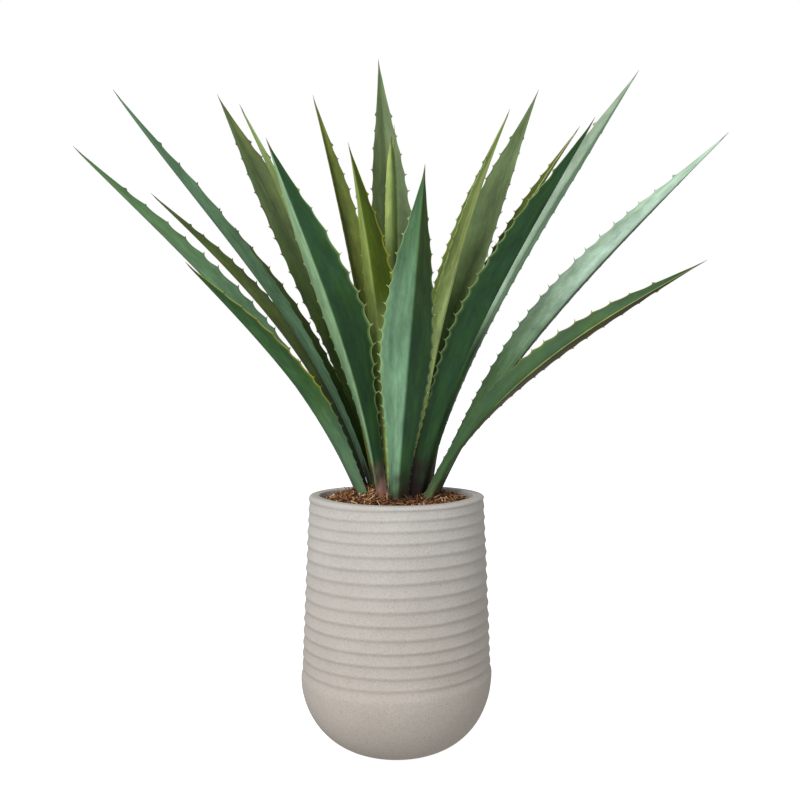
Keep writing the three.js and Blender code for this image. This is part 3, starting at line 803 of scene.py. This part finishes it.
def makeLeaf(name, number, row):
    leaf = {**usualLeaf, **row}
    draw = random.Random(100 + number)
    keel = Keel(leaf)
    rows = leafRows(leaf, keel, draw)
    bpy.ops.object.select_all(action="DESELECT")
    bpy.ops.mesh.primitive_grid_add(x_subdivisions=len(columns) - 1, y_subdivisions=len(rows) - 1, size=1)
    blade = bpy.context.object
    blade.name = name
    thickest = leafForm["footThickness"]
    group = blade.vertex_groups.new(name="thickness")
    marks = []
    for vertex in blade.data.vertices:
        side = columns[round((vertex.co.x + 0.5) * (len(columns) - 1))]
        middle, left, right, part, size = rows[round((vertex.co.y + 0.5) * (len(rows) - 1))]
        margin = left if side > 0 else right
        place = middle + (margin - middle) * side * side
        reach, ahead = marginReach(leaf, margin, part, size, keel.length)
        if abs(side) == 1:
            place = min(place + ahead, leafForm["end"])
        vertex.co = sectionPoint(leaf, keel, place, side, reach) * mm
        group.add([vertex.index], thicknessAt(place, side) / thickest, "REPLACE")
        marks.append((place, side, part, reach))
    solid = blade.modifiers.new("solid", "SOLIDIFY")
    solid.thickness = thickest * mm
    solid.offset = 0
    solid.vertex_group = "thickness"
    applyAll(blade)
    blade.vertex_groups.clear()
    faceOutwards()
    paintLeaf(blade.data, leaf, keel, marks, number)
    bpy.ops.object.shade_smooth_by_angle(angle=math.radians(leafForm["smoothBelow"]))
    blade.data.materials.append(leafSkin)
    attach(blade, "root")
    return blade


for number, leafRow in enumerate(leaves, 1):
    nodeName = f"leaf_{number:02d}"
    blade = makeLeaf(f"blade_{number:02d}", number, leafRow)
    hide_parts(nodeName)
makeLeaf("spear", len(leaves) + 1, spear)
print("leaves ready:", len(leaves))

# Mulch: a rough bed, with bark chips and coir fibres strewn on it

mulch = {
    "edgeTop": 380, "heap": 14, "heapPower": 0.7, "bottom": 372.3, "radius": 121.7, "sides": 72, "rings": 16,
    "mound": (-46, -14), "moundHeight": 13, "moundSpread": 44,  # more lies on the left
    "roughness": 2.2, "roughScale": 110, "evenEdge": 6, "sunk": 1.5,  # it lies under the flakes
    "edgeGap": 1.5, "strewnHeight": (-0.8, 3.2), "middle": 0.03,  # few flakes lie against the stem
    "seed": 5, "flakeStray": 0.2, "flakeWidth": (0.75, 1.25),
}
flakes = {  # size and bend are shares of a flake's length, and tumble is in radians
    "barkChips": {"count": 560, "length": (6, 16), "size": (1, 0.27, 0.13), "cuts": 3, "bend": 0.12,
                  "masters": 5, "seed": 0, "tumble": 0.9},
    "coirFibres": {"count": 1900, "length": (7, 24), "size": (1, 0.06, 0.04), "cuts": 4, "bend": 0.25,
                   "masters": 4, "seed": 20, "tumble": 1.0},
}
barkTones = [
    fromScreen(170, 122, 84), fromScreen(138, 90, 58), fromScreen(102, 66, 44), fromScreen(216, 174, 132),
    fromScreen(150, 102, 68), fromScreen(68, 44, 31), fromScreen(118, 76, 52), fromScreen(86, 57, 40),
]


def bedHeight(x, y):
    radius = math.hypot(x, y)
    away = math.hypot(x - mulch["mound"][0], y - mulch["mound"][1]) / mulch["moundSpread"]
    dome = math.cos(min(radius / mulch["radius"], 1) * math.pi / 2)
    heap = mulch["heap"] * max(0, dome) ** mulch["heapPower"]
    return mulch["edgeTop"] + heap + mulch["moundHeight"] * math.exp(-away * away)


def makeBed():
    bpy.ops.object.select_all(action="DESELECT")
    bpy.ops.mesh.primitive_circle_add(vertices=mulch["sides"], radius=mulch["radius"] * mm, fill_type="NGON",
                                      location=(0, 0, mulch["bottom"] * mm))
    bed = bpy.context.object
    bed.name = "mulchBed"
    bpy.ops.object.mode_set(mode="EDIT")
    bpy.ops.mesh.select_all(action="SELECT")
    lift = (mulch["edgeTop"] - mulch["bottom"]) * mm
    bpy.ops.mesh.extrude_region_move(TRANSFORM_OT_translate={"value": (0, 0, lift)})
    step = mulch["radius"] * mm / mulch["rings"]
    for ring in range(mulch["rings"] - 1):
        bpy.ops.mesh.inset(thickness=step)
    bpy.ops.object.mode_set(mode="OBJECT")
    bpy.ops.object.transform_apply(location=True, rotation=True, scale=True)
    for vertex in bed.data.vertices:
        if vertex.co.z > (mulch["bottom"] + 1) * mm:  # the top side
            x, y = vertex.co.x / mm, vertex.co.y / mm
            rough = mulch["roughness"] * noise.noise(vertex.co * mulch["roughScale"])
            rough *= ramp(0, mulch["evenEdge"], mulch["radius"] - math.hypot(x, y))
            vertex.co.z = (bedHeight(x, y) - mulch["sunk"] + rough) * mm
    faceOutwards()
    bed.data.materials.append(compost)
    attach(bed, "root")
    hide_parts("bark_mulch")


def makeFlake(kind, seed):  # one chip or fibre at the middle, its length along X
    draw = random.Random(seed)
    length, width, thickness = kind["size"]
    bpy.ops.object.select_all(action="DESELECT")
    bpy.ops.mesh.primitive_cube_add(size=1, scale=kind["size"])
    flake = bpy.context.object
    bpy.ops.object.transform_apply(location=False, rotation=False, scale=True)
    bpy.ops.object.mode_set(mode="EDIT")
    for cut in range(kind["cuts"]):
        bpy.ops.mesh.select_all(action="SELECT")
        away = length * ((cut + 1) / (kind["cuts"] + 1) - 0.5)
        bpy.ops.mesh.bisect(plane_co=(away, 0, 0), plane_no=(1, 0, 0))
    bpy.ops.object.mode_set(mode="OBJECT")
    stray = mulch["flakeStray"]
    for vertex in flake.data.vertices:
        share = vertex.co.x / length
        narrow = 1 - 1.5 * share * share
        vertex.co.y = vertex.co.y * narrow + width * draw.uniform(-stray, stray)
        arch = kind["bend"] * (0.25 - share * share)
        vertex.co.z = vertex.co.z * narrow + arch + thickness * draw.uniform(-stray, stray)
    return flake


def strew(masters, kind, draw):
    copies = []
    for index in range(kind["count"]):
        length = draw.uniform(*kind["length"])
        reach = mulch["radius"] - length / 2 - mulch["edgeGap"]
        radius = reach * math.sqrt(draw.uniform(mulch["middle"], 1))
        angle = draw.uniform(0, 2 * math.pi)
        x, y = radius * math.cos(angle), radius * math.sin(angle)
        turn = Matrix.Rotation(draw.uniform(0, 2 * math.pi), 4, "Z")
        tilt = Matrix.Rotation(draw.uniform(-kind["tumble"], kind["tumble"]), 4, "Y")
        tilt = tilt @ Matrix.Rotation(draw.uniform(-1, 1), 4, "X")
        scale = Matrix.Diagonal((length, length * draw.uniform(*mulch["flakeWidth"]), length, 1))
        move = Matrix.Translation((x, y, bedHeight(x, y) + draw.uniform(*mulch["strewnHeight"])))
        master = masters[index % len(masters)]
        flake = master.copy()
        flake.data = master.data.copy()
        bpy.context.scene.collection.objects.link(flake)
        color = barkTones[draw.randrange(len(barkTones))]
        tone = flake.data.attributes.new("tone", "FLOAT_COLOR", "POINT")
        grain = flake.data.attributes.new("grain", "FLOAT_VECTOR", "POINT")
        for vertex in flake.data.vertices:
            tone.data[vertex.index].color = (*color, 1)
            grain.data[vertex.index].vector = vertex.co * length * mm + Vector((index, 0, 0))
        flake.data.transform(Matrix.Scale(mm, 4) @ move @ turn @ tilt @ scale)
        copies.append(flake)
    return copies


def joinPieces(pieces, name):
    bpy.ops.object.select_all(action="DESELECT")
    for piece in pieces:
        piece.select_set(True)
    bpy.context.view_layer.objects.active = pieces[0]
    bpy.ops.object.join()
    pieces[0].name = name
    return pieces[0]


def makeMulch():
    draw = random.Random(mulch["seed"])
    for name, kind in flakes.items():
        masters = [makeFlake(kind, kind["seed"] + index) for index in range(kind["masters"])]
        copies = strew(masters, kind, draw)
        for master in masters:
            bpy.data.objects.remove(master)
        piece = joinPieces(copies, name)
        piece.data.materials.append(barkChip)
        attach(piece, "root")


makeBed()
makeMulch()
print("mulch ready")

for nodeName, material in (("soil", compost), ("stem", stumpSkin)):
    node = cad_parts[nodeName]
    node.data.materials.clear()
    node.data.materials.append(material)

# Studio: pale floor, soft light from the left, camera as in the photograph

studio = {
    "cameraPlace": (0.0056, -1.304, 0.545), "cameraTilt": 90, "lens": 36.72, "sensor": 36,
    "floorSize": 60, "floorWhite": 0.8, "floorGlow": 0.8, "floorRoughness": 0.9,
    "ambient": 0.475, "seenWhite": 1.0,  # the room's light, and how bright its wall looks to the camera
    "keyPower": 106, "keyPlace": (-1.45, -2.9, 2.45), "keySize": 2.0, "aim": (0, 0, 0.55),
}
white = (1, 1, 1, 1)


def addLight(name, power, place, size):
    light = bpy.data.lights.new(name, "AREA")
    light.energy = power
    light.size = size
    lamp = bpy.data.objects.new(name, light)
    bpy.context.scene.collection.objects.link(lamp)
    lamp.location = place
    lamp.rotation_euler = (Vector(studio["aim"]) - Vector(place)).to_track_quat("-Z", "Y").to_euler()


def makeCamera():
    camera = bpy.data.cameras.new("camera")
    camera.lens = studio["lens"]
    camera.sensor_width = studio["sensor"]
    eye = bpy.data.objects.new("camera", camera)
    bpy.context.scene.collection.objects.link(eye)
    eye.location = studio["cameraPlace"]
    eye.rotation_euler = (math.radians(studio["cameraTilt"]), 0, 0)
    bpy.context.scene.camera = eye


def makeRoom():
    world = bpy.data.worlds.new("studio")
    world.use_nodes = True
    tree = world.node_tree
    walls = tree.nodes["Background"]
    seen = addNode(tree, "ShaderNodeLightPath").outputs["Is Camera Ray"]
    strength = rangeOf(tree, seen, (0, 1), (studio["ambient"], studio["seenWhite"]))
    tree.links.new(strength, walls.inputs["Strength"])
    walls.inputs["Color"].default_value = white
    bpy.context.scene.world = world


def makeFloor():
    bpy.ops.object.select_all(action="DESELECT")
    bpy.ops.mesh.primitive_plane_add(size=studio["floorSize"])
    floor = bpy.context.object
    floor.name = "floor"
    material, tree, skin = newMaterial("floorPaint", studio["floorRoughness"], 0.0)
    skin.inputs["Base Color"].default_value = (studio["floorWhite"],) * 3 + (1,)
    skin.inputs["Emission Color"].default_value = white
    skin.inputs["Emission Strength"].default_value = studio["floorGlow"]
    floor.data.materials.append(material)
    floor.visible_diffuse = False  # the undersides get the soft light of the room alone
    floor.visible_glossy = False


makeCamera()
addLight("key", studio["keyPower"], studio["keyPlace"], studio["keySize"])
makeRoom()
makeFloor()
bpy.context.scene.view_settings.view_transform = "Standard"
print("studio ready")
